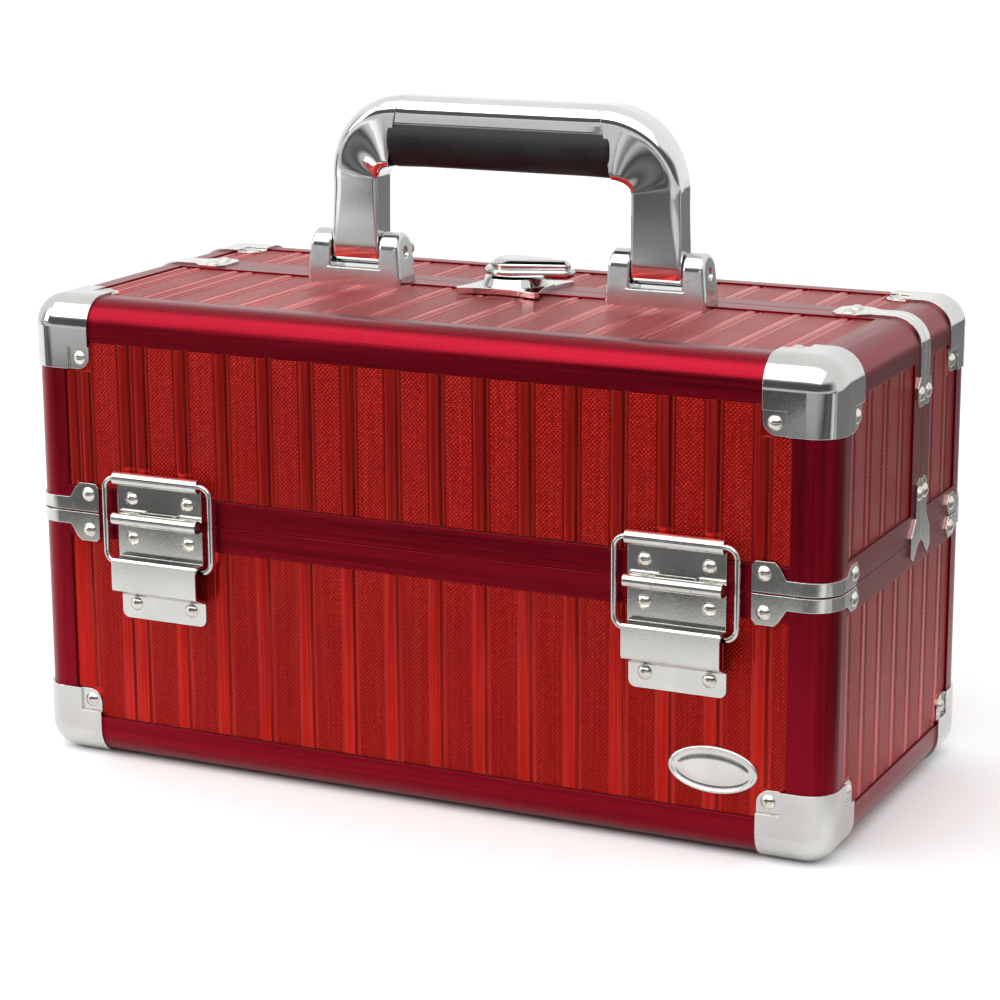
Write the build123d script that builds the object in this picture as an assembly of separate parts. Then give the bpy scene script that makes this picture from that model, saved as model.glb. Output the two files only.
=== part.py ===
from build123d import *
import os
import math

# Makeup train case: a box of laminated boards held in aluminium edge
# extrusions. A horizontal seam runs all round at mid height. Above it the case
# has two lids, a deep front one and a shallow rear one, that meet on the top
# and swing open away from each other on stop hinges, drawing trays out.
#
# Frame: millimetres, +Z up, X along the width, -Y is the front face.
# The origin is the centre of the bottom of the bounding box.

# ---------------------------------------------------------------- dimensions
CASE_W = 370.0          # width over the corner caps
CASE_D = 176.0          # depth over the corner caps
CASE_H = 206.0          # height of the box over the corner caps
CAP_T = 1.0             # sheet thickness of the corner caps and brackets
SEAM_Z = 112.0          # height of the horizontal seam
SPLIT_Y = 21.5          # where front and rear lid meet
SEAM_GAP = 0.2          # half of the gap at each seam
EDGE_R = 12.0           # outer radius of the edge extrusions
EDGE_E = 17.5           # flange width of the edge extrusions
SKIN = 1.0              # flange thickness; panels sit this far below it
PANEL_T = 4.0           # board thickness
RAIL_W = 10.8           # visible width of the seam rails
RAIL_WEB = 2.5          # closed edge of the seam rails
CAP_L = 31.0            # reach of a corner cap from the corner
CAP_PAD = 10.0          # side of the recessed rivet pad of a cap
RIVET_R = 3.2           # rivet head radius
RIVET_H = 1.5           # rivet head height
SHANK_R = 1.5           # rivet shank radius

HINGE_X = 119.7         # centre of each stop hinge
HINGE_W = 42.0          # leaf width
AXIS_OUT = 5.0          # hinge axis in front of the rail face
KNUCKLE_R = 2.8
PIN_R = 1.3
PIN_CLEAR = 0.05
LEAF_T = 1.5
RING_R = 1.2            # stop ring wire radius
RING_HALF = 26.3        # half width of the ring, wire centre
RING_UP = 17.5          # ring's upper bar above the hinge axis
RING_DOWN = 20.3        # ring's lower bar below the hinge axis
RING_OUT = 3.2          # ring's plane in front of the rail face
BRIDGE_OUT = 8.4        # front of the raised bridge

HANDLE_Y = 9.0          # handle pivot
HANDLE_Z = 219.0
HANDLE_TOP = 288.3
LEG_OUT = 83.4          # outer side of the legs
LEG_IN = 60.4           # inner side of the legs
LEG_MID = (LEG_OUT + LEG_IN) / 2
GRIP_HALF = 52.5

LATCH_Y = 16.5          # turn latch centre
LATCH_HALF = 21.0       # half size of its plate
LATCH_SHAFT_R = 4.0

TRAY_END = 166.0        # outer face of the tray ends
TRAY_T = 1.6
ARM_X = 170.0           # inner face of the tray arms
ARM_T = 1.6
ARM_W = 7.6
TPIN_R = 2.0            # tray pivot pins
TPIN_CLEAR = 0.06
LINK_F = 50.0           # front: tray link from hinge axis, back and up
LINK_R = 30.0           # rear: the same
PIVOT_DZ = -1.5         # arm pivots on the base, from the hinge axis height

# derived
OX = CASE_W / 2 - CAP_T          # outer faces of the extrusions
OY = CASE_D / 2 - CAP_T
Z0 = CAP_T
Z1 = CASE_H - CAP_T
IN1 = SKIN                       # board outer face
IN2 = SKIN + PANEL_T             # board inner face
IN3 = IN2 + 1.0                  # inner flange
AX_Y = OY + AXIS_OUT             # distance of hinge axes from the middle

os.makedirs("parts", exist_ok=True)
NODES = {}
BODY = {}


def put(name, body, shape):
    NODES[name] = shape
    BODY[name] = body


def box(x0, x1, y0, y1, z0, z1):
    return Pos((x0 + x1) / 2, (y0 + y1) / 2, (z0 + z1) / 2) * Box(
        abs(x1 - x0), abs(y1 - y0), abs(z1 - z0))


def cyl(p, q, r):
    """Round bar from p to q."""
    p, q = Vector(*p), Vector(*q)
    d = q - p
    pl = Plane(origin=p, z_dir=d.normalized())
    return pl * Cylinder(r, d.length, align=(Align.CENTER, Align.CENTER, Align.MIN))


def union(items):
    items = list(items)
    out = items[0]
    for it in items[1:]:
        out = out + it
    return out


def group(items):
    """Separate solids that share a node."""
    solids = []
    for it in items:
        solids += list(it.solids())
    return Compound(children=solids) if len(solids) > 1 else solids[0]


def flip_y(shape):
    return mirror(shape, about=Plane.XZ)


def flip_x(shape):
    return mirror(shape, about=Plane.YZ)


def prism(points, plane, amount):
    """Extrude a closed polygon given in the plane's own coordinates."""
    wire = Polyline(*points, close=True)
    return extrude(plane * make_face(wire), amount=amount)


def bar(section, p_lo, p_hi, d1, d2):
    """A length of profile between two points of its outer edge line."""
    d1, d2 = Vector(*d1), Vector(*d2)
    n = d1.cross(d2)
    p_lo, p_hi = Vector(*p_lo), Vector(*p_hi)
    origin = p_lo if (p_hi - p_lo).dot(n) > 0 else p_hi
    return extrude(Plane(origin=origin, x_dir=d1, z_dir=n) * section,
                   amount=(p_hi - p_lo).length)


def edge_section():
    """Rounded L with a slot for a board along each leg."""
    R, E = EDGE_R, EDGE_E
    k = R * (1 - math.sqrt(0.5))
    arc = ThreePointArc((0, R), (k, k), (R, 0))
    rest = Polyline((R, 0), (E, 0), (E, IN1), (R, IN1), (R, IN2), (E, IN2),
                    (E, IN3), (IN3, IN3), (IN3, E), (IN2, E), (IN2, R),
                    (IN1, R), (IN1, E), (0, E), (0, R))
    return make_face(arc.edges() + rest.edges())


def rail_section():
    """U channel over the board's free edge."""
    return make_face(Polyline((0, 0), (RAIL_W, 0), (RAIL_W, IN1),
                              (RAIL_WEB, IN1), (RAIL_WEB, IN2),
                              (RAIL_W, IN2), (RAIL_W, IN3), (0, IN3),
                              close=True))


EDGE = edge_section()
RAIL = rail_section()

# rivets: (point on the head's seat, outward direction), by body
RIVETS = {"base": [], "front_lid": [], "rear_lid": []}


HEAD_R = (RIVET_R ** 2 + RIVET_H ** 2) / (2 * RIVET_H)
RIVET_HEAD = (Pos(0, 0, RIVET_H - HEAD_R) * Sphere(HEAD_R)) & (Pos(0, 0, 3) * Box(12, 12, 6))


def rivet(p, n, depth=4.5):
    """Domed head on a shank."""
    one = RIVET_HEAD + Pos(0, 0, -depth / 2) * Cylinder(SHANK_R, depth)
    return Plane(origin=Vector(*p), z_dir=Vector(*n)) * one


def shank(p, n, depth=4.5):
    p, n = Vector(*p), Vector(*n)
    return cyl(tuple(p + n * 0.01), tuple(p - n * depth), SHANK_R)


# --------------------------------------------------------------- base, boards
bz1 = SEAM_Z - SEAM_GAP
XB = OX - EDGE_E
YB = OY - EDGE_E
PX = OX - EDGE_R
PY = OY - EDGE_R

put("base_front_panel", "base", box(-PX, PX, -OY + IN1, -OY + IN2, Z0 + EDGE_R, bz1 - RAIL_WEB))
put("base_rear_panel", "base", box(-PX, PX, OY - IN2, OY - IN1, Z0 + EDGE_R, bz1 - RAIL_WEB))
put("base_end_panels", "base", group(
    box(s * (OX - IN1), s * (OX - IN2), -PY, PY, Z0 + EDGE_R, bz1 - RAIL_WEB) for s in (-1, 1)))
put("base_bottom_panel", "base", box(-PX, PX, -PY, PY, Z0 + IN1, Z0 + IN2))
put("base_floor_lining", "base", box(-XB, XB, -YB, YB, Z0 + IN2, Z0 + IN2 + 1.5))

put("base_bottom_extrusions", "base", group(
    [bar(EDGE, (-XB, s * OY, Z0), (XB, s * OY, Z0), (0, -s, 0), (0, 0, 1)) for s in (-1, 1)]
    + [bar(EDGE, (s * OX, -YB, Z0), (s * OX, YB, Z0), (-s, 0, 0), (0, 0, 1)) for s in (-1, 1)]))
put("base_corner_posts", "base", group(
    bar(EDGE, (s * OX, t * OY, Z0 + EDGE_E), (s * OX, t * OY, bz1), (-s, 0, 0), (0, -t, 0))
    for s in (-1, 1) for t in (-1, 1)))
put("base_rim_rails", "base", group(
    [bar(RAIL, (-XB, s * OY, bz1), (XB, s * OY, bz1), (0, 0, -1), (0, -s, 0)) for s in (-1, 1)]
    + [bar(RAIL, (s * OX, -YB, bz1), (s * OX, YB, bz1), (0, 0, -1), (-s, 0, 0)) for s in (-1, 1)]))


# ----------------------------------------------------------------- corner caps
def round_box(hx, hy, z0, z1, r):
    b = box(-hx, hx, -hy, hy, z0, z1)
    return fillet(b.edges(), r)


OUTER = round_box(CASE_W / 2, CASE_D / 2, 0, CASE_H, EDGE_R + CAP_T)
INNER = round_box(OX, OY, Z0, Z1, EDGE_R)
SHELL = OUTER - INNER


def corner_cap(sx, sy, top):
    """Ball corner sheet with a recessed rivet pad at the free corner of each face."""
    hx, hy = CASE_W / 2, CASE_D / 2
    zc = CASE_H if top else 0.0
    dz = -1 if top else 1
    region = box(sx * (hx - CAP_L), sx * (hx + 1), sy * (hy - CAP_L), sy * (hy + 1),
                 zc - dz * 1, zc + dz * CAP_L)
    cap = SHELL & region
    a, b = CAP_L - CAP_PAD - 1.0, CAP_L
    pads = []
    riv = []
    t = SKIN + CAP_T          # pad block thickness, down to the board face
    rec = 1.2                 # depth of the recess
    mid = CAP_L - CAP_PAD / 2
    # front or rear face (normal y)
    blk = box(sx * (hx - a), sx * (hx - b), sy * (hy - t), sy * hy, zc + dz * a, zc + dz * b)
    cut = box(sx * (hx - a - 1), sx * (hx - b - 1), sy * (hy - rec), sy * (hy + 1), zc + dz * (a + 1), zc + dz * (b + 1))
    pads.append((blk, cut))
    riv.append(((sx * (hx - mid), sy * (hy - rec), zc + dz * mid), (0, sy, 0)))
    # end face (normal x)
    blk = box(sx * (hx - t), sx * hx, sy * (hy - a), sy * (hy - b), zc + dz * a, zc + dz * b)
    cut = box(sx * (hx - rec), sx * (hx + 1), sy * (hy - a - 1), sy * (hy - b - 1), zc + dz * (a + 1), zc + dz * (b + 1))
    pads.append((blk, cut))
    riv.append(((sx * (hx - rec), sy * (hy - mid), zc + dz * mid), (sx, 0, 0)))
    # top or bottom face (normal z)
    blk = box(sx * (hx - a), sx * (hx - b), sy * (hy - a), sy * (hy - b), zc, zc + dz * t)
    cut = box(sx * (hx - a - 1), sx * (hx - b - 1), sy * (hy - a - 1), sy * (hy - b - 1), zc - dz * 1, zc + dz * rec)
    pads.append((blk, cut))
    riv.append(((sx * (hx - mid), sy * (hy - mid), zc + dz * rec), (0, 0, -dz)))
    for blk, cut in pads:
        cap = cap + blk
    for blk, cut in pads:
        cap = cap - cut
    # the free corner of each face is rounded
    q = 6.0
    e0, e1 = b - q, b + 0.2
    w = box(sx * (hx - e0), sx * (hx - e1), sy * (hy - t - 0.1), sy * (hy + 1), zc + dz * e0, zc + dz * e1) \
        - cyl((sx * (hx - e0), sy * (hy - t - 1), zc + dz * e0), (sx * (hx - e0), sy * (hy + 2), zc + dz * e0), q)
    cap = cap - w
    w = box(sx * (hx - t - 0.1), sx * (hx + 1), sy * (hy - e0), sy * (hy - e1), zc + dz * e0, zc + dz * e1) \
        - cyl((sx * (hx - t - 1), sy * (hy - e0), zc + dz * e0), (sx * (hx + 2), sy * (hy - e0), zc + dz * e0), q)
    cap = cap - w
    w = box(sx * (hx - e0), sx * (hx - e1), sy * (hy - e0), sy * (hy - e1), zc - dz * 1, zc + dz * (t + 0.1)) \
        - cyl((sx * (hx - e0), sy * (hy - e0), zc - dz * 2), (sx * (hx - e0), sy * (hy - e0), zc + dz * (t + 1)), q)
    cap = cap - w
    return cap, riv


def caps(corners):
    parts, rivs = [], []
    for sx, sy, top in corners:
        c, r = corner_cap(sx, sy, top)
        parts.append(c)
        rivs += r
    return group(parts), rivs


c, r = caps([(sx, sy, False) for sx in (-1, 1) for sy in (-1, 1)])
put("base_corner_caps", "base", c)
# the rivet under each bottom corner would stand below the sheet, so it is flush
RIVETS["base"] += [q for q in r if q[1][2] == 0]


# -------------------------------------------------------------- seam brackets
def round_prism_z(hx, hy, r, z0, z1):
    b = box(-hx, hx, -hy, hy, z0, z1)
    return fillet(b.edges().filter_by(Axis.Z), r)


def seam_bracket(sx, sy, up):
    """Strap round a vertical edge beside the seam, with a riveted plate on
    the long side and a smaller pad on the end."""
    d = 1 if up else -1
    zs = SEAM_Z + d * 0.4
    ring_ = round_prism_z(OX + CAP_T, OY + CAP_T, EDGE_R + CAP_T, min(zs, zs + d * 5.6), max(zs, zs + d * 5.6)) \
        - round_prism_z(OX, OY, EDGE_R, min(zs, zs + d * 5.6) - 1, max(zs, zs + d * 5.6) + 1)
    strap = ring_ & box(sx * 160, sx * 190, sy * 66, sy * 92, 0, 300)
    y_out, y_in = sy * (OY + CAP_T), sy * OY
    pl = Plane(origin=(0, y_in, 0), x_dir=(1, 0, 0), z_dir=(0, -1, 0))
    pts = [(sx * 151.0, zs), (sx * 151.0, zs + d * 10.5), (sx * 152.5, zs + d * 12.5), (sx * 160.5, zs + d * 12.5),
           (sx * 162.5, zs + d * 10.5), (sx * 165.5, zs + d * 5.6), (sx * 170, zs + d * 5.6), (sx * 170, zs)]
    plate = prism(pts, pl, CAP_T if sy < 0 else -CAP_T)
    pl2 = Plane(origin=(sx * OX, 0, 0), x_dir=(0, 1, 0), z_dir=(1, 0, 0))
    pts2 = [(sy * 72, zs), (sy * 72, zs + d * 5.6), (sy * 67.5, zs + d * 9.0), (sy * 61, zs + d * 9.0),
            (sy * 58.5, zs + d * 5.0), (sy * 61.5, zs)]
    pad = prism(pts2, pl2, CAP_T * sx)
    riv = [((sx * 156.0, y_out, SEAM_Z + d * 8.0), (0, sy, 0)),
           ((sx * (OX + CAP_T), sy * 63.5, SEAM_Z + d * 5.2), (sx, 0, 0))]
    return strap + plate + pad, riv


parts, rr = [], []
for sx in (-1, 1):
    for sy in (-1, 1):
        b, q = seam_bracket(sx, sy, False)
        parts.append(b)
        rr += q
put("base_seam_brackets", "base", group(parts))
RIVETS["base"] += rr


# ------------------------------------------------------------------ stop hinge
# All in canonical front position: v is the distance out of the rail face.
def Y(v):
    return -OY - v


def lid_leaf(cx):
    x0, x1 = cx - HINGE_W / 2, cx + HINGE_W / 2
    z = SEAM_Z
    leaf = box(x0, x1, Y(0), Y(LEAF_T), z + 1.3, z + RING_UP)
    sleeve = cyl((x0, Y(RING_OUT), z + RING_UP), (x1, Y(RING_OUT), z + RING_UP), 3.0)
    leaf = leaf + sleeve
    m = 8.4
    leaf = leaf + box(cx - m, cx + m, Y(0), Y(AXIS_OUT), z + 1.3, z + KNUCKLE_R)
    leaf = leaf + cyl((cx - m, Y(AXIS_OUT), z), (cx + m, Y(AXIS_OUT), z), KNUCKLE_R)
    leaf = leaf - cyl((x0 - 3, Y(AXIS_OUT), z), (x1 + 3, Y(AXIS_OUT), z), PIN_R + PIN_CLEAR)
    leaf = leaf - cyl((x0 - 3, Y(RING_OUT), z + RING_UP), (x1 + 3, Y(RING_OUT), z + RING_UP), RING_R + 0.07)
    return leaf


def base_leaf(cx):
    x0, x1 = cx - HINGE_W / 2, cx + HINGE_W / 2
    z = SEAM_Z
    pts = [(0, -1.3), (LEAF_T, -1.3), (LEAF_T, -17.3), (BRIDGE_OUT - 0.8, -17.3), (BRIDGE_OUT, -18.1),
           (BRIDGE_OUT, -30.6), (BRIDGE_OUT - 0.4, -31.6), (BRIDGE_OUT - 1.4, -32.3), (1.4, -34.6), (0.5, -35.0), (0.2, -35.4),
           (0.2, -45.4), (-1, -45.4), (-1, -34.8), (-0.4, -34.1), (0.96, -33.54), (BRIDGE_OUT - 1.84, -31.24),
           (BRIDGE_OUT - 1.35, -30.9), (BRIDGE_OUT - 1.2, -30.3), (BRIDGE_OUT - 1.2, -18.5), (0, -18.5)]
    pl = Plane(origin=(x0, -OY, z), x_dir=(0, -1, 0), z_dir=(-1, 0, 0))
    # plane's own y axis is z_dir x x_dir
    yd = pl.y_dir.Z
    leaf = prism([(a, b * (1 if yd > 0 else -1)) for a, b in pts], pl, -HINGE_W)
    leaf = fillet(leaf.edges().filter_by(Axis.Y).sort_by(Axis.Z)[:2], 3.2)
    for a, b in ((-HINGE_W / 2, -8.6), (8.6, HINGE_W / 2)):
        leaf = leaf + box(cx + a, cx + b, Y(0), Y(AXIS_OUT), z - 1.3, z - KNUCKLE_R)
        leaf = leaf + cyl((cx + a, Y(AXIS_OUT), z), (cx + b, Y(AXIS_OUT), z), KNUCKLE_R)
    # the pin is pressed into the outer knuckles, so its bore is its own size
    leaf = leaf - cyl((x0 - 3, Y(AXIS_OUT), z), (x1 + 3, Y(AXIS_OUT), z), PIN_R)
    # clearance round the middle knuckle
    leaf = leaf - cyl((cx - 8.6, Y(AXIS_OUT), z), (cx + 8.6, Y(AXIS_OUT), z), KNUCKLE_R + 0.25)
    return leaf


def hinge_pin(cx):
    return cyl((cx - HINGE_W / 2, Y(AXIS_OUT), SEAM_Z), (cx + HINGE_W / 2, Y(AXIS_OUT), SEAM_Z), PIN_R)


def stop_ring(cx):
    """Closed wire loop with rounded corners, lying over the hinge."""
    z0, z1 = SEAM_Z - RING_DOWN, SEAM_Z + RING_UP
    rc = 5.0
    h = RING_HALF
    pl = Plane(origin=(cx, Y(RING_OUT), 0), x_dir=(1, 0, 0), z_dir=(0, -1, 0))
    s = pl.y_dir.Z
    path = FilletPolyline((-h, z0 * s), (h, z0 * s), (h, z1 * s), (-h, z1 * s), radius=rc, close=True)
    w = pl * path
    start = w @ 0
    tang = w % 0
    prof = Plane(origin=start, z_dir=tang) * Circle(RING_R)
    return sweep(prof, path=w)


leaves_b = [base_leaf(s * HINGE_X) for s in (-1, 1)]
leaves_b += [flip_y(x) for x in leaves_b]
put("stop_hinge_base_leaves", "base", group(leaves_b))
pins = [hinge_pin(s * HINGE_X) for s in (-1, 1)]
pins += [flip_y(x) for x in pins]
put("stop_hinge_pins", "base", group(pins))
for s in (-1, 1):
    for dx in (-13.9, 13.9):
        for t in (-1, 1):
            x = s * HINGE_X + dx
            RIVETS["base"].append(((x, t * (OY + LEAF_T), SEAM_Z - 9.0), (0, t, 0)))
            RIVETS["base"].append(((x, t * (OY + 0.2), SEAM_Z - 38.7), (0, t, 0)))
            RIVETS["front_lid" if t < 0 else "rear_lid"].append(
                ((x, t * (OY + LEAF_T), SEAM_Z + 8.3), (0, t, 0)))

put("front_hinge_lid_leaves", "front_lid", group(lid_leaf(s * HINGE_X) for s in (-1, 1)))
put("rear_hinge_lid_leaves", "rear_lid", group(flip_y(lid_leaf(s * HINGE_X)) for s in (-1, 1)))
put("stop_ring_front_left", "ring_front_left", stop_ring(-HINGE_X))
put("stop_ring_front_right", "ring_front_right", stop_ring(HINGE_X))
put("stop_ring_rear_left", "ring_rear_left", flip_y(stop_ring(-HINGE_X)))
put("stop_ring_rear_right", "ring_rear_right", flip_y(stop_ring(HINGE_X)))


# ------------------------------------------------------------------------ lids
def lid(body, ys, sy):
    """Boards, extrusions, rails, caps and straps of one lid, built with its
    closed face at -Y and its open edge at y = ys, then mirrored for the rear."""
    z0 = SEAM_Z + SEAM_GAP
    F = (lambda s: s) if sy < 0 else flip_y
    put(f"{body}_{'front' if sy < 0 else 'back'}_panel", body,
        F(box(-PX, PX, -OY + IN1, -OY + IN2, z0 + RAIL_WEB, Z1 - EDGE_R)))
    put(f"{body}_top_panel", body, F(box(-PX, PX, -PY, ys - RAIL_WEB, Z1 - IN2, Z1 - IN1)))
    put(f"{body}_end_panels", body, F(group(
        box(s * (OX - IN1), s * (OX - IN2), -PY, ys - RAIL_WEB, z0 + RAIL_WEB, Z1 - EDGE_R)
        for s in (-1, 1))))
    put(f"{body}_edge_extrusions", body, F(group(
        [bar(EDGE, (-XB, -OY, Z1), (XB, -OY, Z1), (0, 1, 0), (0, 0, -1))]
        + [bar(EDGE, (s * OX, -YB, Z1), (s * OX, ys, Z1), (-s, 0, 0), (0, 0, -1)) for s in (-1, 1)]
        + [bar(EDGE, (s * OX, -OY, z0), (s * OX, -OY, Z1 - EDGE_E), (-s, 0, 0), (0, 1, 0)) for s in (-1, 1)])))
    put(f"{body}_rim_rails", body, F(group(
        [bar(RAIL, (-XB, -OY, z0), (XB, -OY, z0), (0, 0, 1), (0, 1, 0))]
        + [bar(RAIL, (s * OX, -YB, z0), (s * OX, ys - RAIL_W, z0), (0, 0, 1), (-s, 0, 0)) for s in (-1, 1)]
        + [bar(RAIL, (-XB, ys, Z1), (XB, ys, Z1), (0, -1, 0), (0, 0, -1))]
        + [bar(RAIL, (s * OX, ys, z0), (s * OX, ys, Z1 - EDGE_E), (0, -1, 0), (-s, 0, 0)) for s in (-1, 1)])))
    put(f"{body}_lining", body, F(box(-XB + 1, XB - 1, -YB + 1, ys - RAIL_W - 0.5, Z1 - IN2 - 1.2, Z1 - IN2)))
    c_, r_ = caps([(sx, -1, True) for sx in (-1, 1)])
    put(f"{body}_corner_caps", body, F(c_))
    rv = list(r_)
    ps = []
    for sx in (-1, 1):
        b_, q_ = seam_bracket(sx, -1, True)
        ps.append(b_)
        rv += q_
    put(f"{body}_seam_brackets", body, F(group(ps)))
    # straps over the top edge beside the split between the lids
    st = []
    for sx in (-1, 1):
        a = box(-OX - CAP_T, OX + CAP_T, ys - 5.6, ys, Z1 - 60, Z1 + CAP_T)
        b = box(-OX, OX, ys - 7, ys + 1, Z1 - 61, Z1)
        a = fillet(a.edges().filter_by(Axis.Y).sort_by(Axis.Z)[-2:], EDGE_R + CAP_T)
        b = fillet(b.edges().filter_by(Axis.Y).sort_by(Axis.Z)[-2:], EDGE_R)
        strap = (a - b) & box(sx * 150, sx * 190, -100, 100, Z1 - 28, Z1 + 2)
        pl = Plane(origin=(0, 0, Z1), x_dir=(1, 0, 0), z_dir=(0, 0, 1))
        strap = strap + prism([(sx * 146, ys), (sx * 146, ys - 6), (sx * 149, ys - 9.6), (sx * 158, ys - 9.6),
                               (sx * 163, ys - 5.6), (sx * 163, ys)], pl, CAP_T)
        pl2 = Plane(origin=(sx * OX, 0, 0), x_dir=(0, 1, 0), z_dir=(1, 0, 0))
        strap = strap + prism([(ys, Z1 - 24), (ys - 5.6, Z1 - 24), (ys - 8.6, Z1 - 28), (ys - 8.6, Z1 - 33),
                               (ys - 6, Z1 - 36.5), (ys - 1, Z1 - 36.5), (ys, Z1 - 34)], pl2, CAP_T * sx)
        st.append(strap)
        rv.append(((sx * 153.0, ys - 4.9, Z1 + CAP_T), (0, 0, 1)))
        rv.append(((sx * (OX + CAP_T), ys - 4.4, Z1 - 31.0), (sx, 0, 0)))
    # guide plates on the ends, where the split meets the horizontal seam
    for sx in (-1, 1):
        pl2 = Plane(origin=(sx * OX, 0, 0), x_dir=(0, 1, 0), z_dir=(1, 0, 0))
        st.append(prism([(ys, SEAM_Z + 25), (ys - 3, SEAM_Z + 26), (ys - 6, SEAM_Z + 24), (ys - 6.5, SEAM_Z + 9),
                         (ys - 12, SEAM_Z + 2), (ys - 12.5, SEAM_Z - 6), (ys - 9, SEAM_Z - 8.5), (ys - 4, SEAM_Z - 3),
                         (ys, SEAM_Z - 1)], pl2, CAP_T * sx))
        rv.append(((sx * (OX + CAP_T), ys - 3.4, SEAM_Z + 19.5), (sx, 0, 0)))
    put(f"{body}_split_straps", body, F(group(st)))
    if sy > 0:
        rv = [((p[0], -p[1], p[2]), (n[0], -n[1], n[2])) for p, n in rv]
    RIVETS[body] += rv


lid("front_lid", SPLIT_Y - SEAM_GAP, -1)
lid("rear_lid", -(SPLIT_Y + SEAM_GAP), 1)

# ---------------------------------------------------------------------- handle
TOPF = Z1 - IN1                     # face of the top board


def handle_bracket(sx):
    """Cast U block: a low bridge between two ears that carry the pivot."""
    xm = (LEG_IN + LEG_OUT) / 2
    pl = Plane(origin=(sx * xm, 0, 0), x_dir=(0, 1, 0), z_dir=(1, 0, 0))
    # end view: splayed foot, ear with a round top
    foot = [(HANDLE_Y - 7.4, HANDLE_Z + 1.5), (HANDLE_Y - 8.3, TOPF), (HANDLE_Y + 8.3, TOPF), (HANDLE_Y + 7.4, HANDLE_Z + 1.5)]
    crown = ThreePointArc(foot[-1], (HANDLE_Y, HANDLE_Z + 8.6), foot[0])
    blk = extrude(pl * make_face(Polyline(*foot).edges() + crown.edges()), amount=23.2, both=True)
    # front view: sides splay out towards the foot
    side = [(sx * xm - 23.2, TOPF - 1), (sx * xm + 23.2, TOPF - 1), (sx * xm + 23.2, TOPF + 4), (sx * xm + 21.2, HANDLE_Z + 9),
            (sx * xm - 21.2, HANDLE_Z + 9), (sx * xm - 23.2, TOPF + 4)]
    pl3 = Plane(origin=(0, 40, 0), x_dir=(1, 0, 0), z_dir=(0, -1, 0))
    blk = blk & prism(side, pl3, 80)
    gap = box(sx * xm - 11.9, sx * xm + 11.9, -40, 40, HANDLE_Z - 7.4, HANDLE_Z + 30)
    blk = blk - gap
    # soft shoulders on the ears
    blk = fillet(blk.edges().filter_by(lambda e: e.center().Z > HANDLE_Z + 3 and abs(e.center().Y - HANDLE_Y) < 1), 1.8)
    bore = cyl((sx * xm - 30, HANDLE_Y, HANDLE_Z), (sx * xm + 30, HANDLE_Y, HANDLE_Z), 2.5)
    # the foot is cut back over the raised rail beside the split
    blk = blk - box(-200, 200, SPLIT_Y - SEAM_GAP - RAIL_W - 0.05, 60, TOPF - 2, Z1 + 0.05)
    return blk - bore


put("handle_brackets", "front_lid", group(handle_bracket(s) for s in (-1, 1)))
put("handle_pivot_pins", "front_lid", group(
    cyl((s * LEG_MID - 21.4, HANDLE_Y, HANDLE_Z), (s * LEG_MID + 21.4, HANDLE_Y, HANDLE_Z), 2.5) for s in (-1, 1)))
put("handle_bumpers", "front_lid", group(
    cyl((s * (LEG_MID - 18.0), HANDLE_Y + 7.2, HANDLE_Z), (s * (LEG_MID - 18.0), HANDLE_Y + 11.6, HANDLE_Z), 2.6)
    - NODES["handle_brackets"] for s in (-1, 1)))

arch2d = make_face(Polyline((-LEG_OUT, HANDLE_Z), (-LEG_OUT, HANDLE_TOP), (LEG_OUT, HANDLE_TOP), (LEG_OUT, HANDLE_Z),
                            (LEG_IN, HANDLE_Z), (LEG_IN, HANDLE_TOP - 25), (-LEG_IN, HANDLE_TOP - 25), (-LEG_IN, HANDLE_Z),
                            close=True))
top_v = arch2d.vertices().filter_by_position(Axis.Y, HANDLE_TOP - 0.1, HANDLE_TOP + 0.1)
arch2d = fillet(top_v, 35)
in_v = arch2d.vertices().filter_by_position(Axis.Y, HANDLE_TOP - 25.1, HANDLE_TOP - 24.9)
arch2d = fillet(in_v, 9)
plh = Plane(origin=(0, HANDLE_Y, 0), x_dir=(1, 0, 0), z_dir=(0, -1, 0))
arch = extrude(plh * arch2d, amount=6.6, both=True)
# broad rounding on the outside of the bow, small rounding inside
rim_edges = arch.edges().filter_by(lambda e: abs(abs(e.center().Y - HANDLE_Y) - 6.6) < 0.05 and e.center().Z > HANDLE_Z + 5)
outer_e = rim_edges.filter_by(lambda e: abs(e.center().X) > LEG_OUT - 15 and abs(abs(e.center().X) - LEG_IN) > 5 or e.center().Z > HANDLE_TOP - 1)
inner_e = rim_edges.filter_by(lambda e: not (abs(e.center().X) > LEG_OUT - 15 and abs(abs(e.center().X) - LEG_IN) > 5 or e.center().Z > HANDLE_TOP - 1))
arch = fillet(outer_e, 4.5)
arch = fillet(arch.edges().filter_by(lambda e: abs(abs(e.center().Y - HANDLE_Y) - 6.6) < 0.05 and e.center().Z > HANDLE_Z + 5
                                     and any((e.center() - q.center()).length < 0.6 for q in inner_e)), 2.0)
# rounded lower ends about the pivot
arch = arch + union(cyl((s * LEG_IN, HANDLE_Y, HANDLE_Z), (s * LEG_OUT, HANDLE_Y, HANDLE_Z), 6.6) for s in (-1, 1))
arch = arch - union(cyl((s * (LEG_IN - 1), HANDLE_Y, HANDLE_Z), (s * (LEG_OUT + 1), HANDLE_Y, HANDLE_Z), 2.5 + PIN_CLEAR)
                    for s in (-1, 1))
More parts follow.
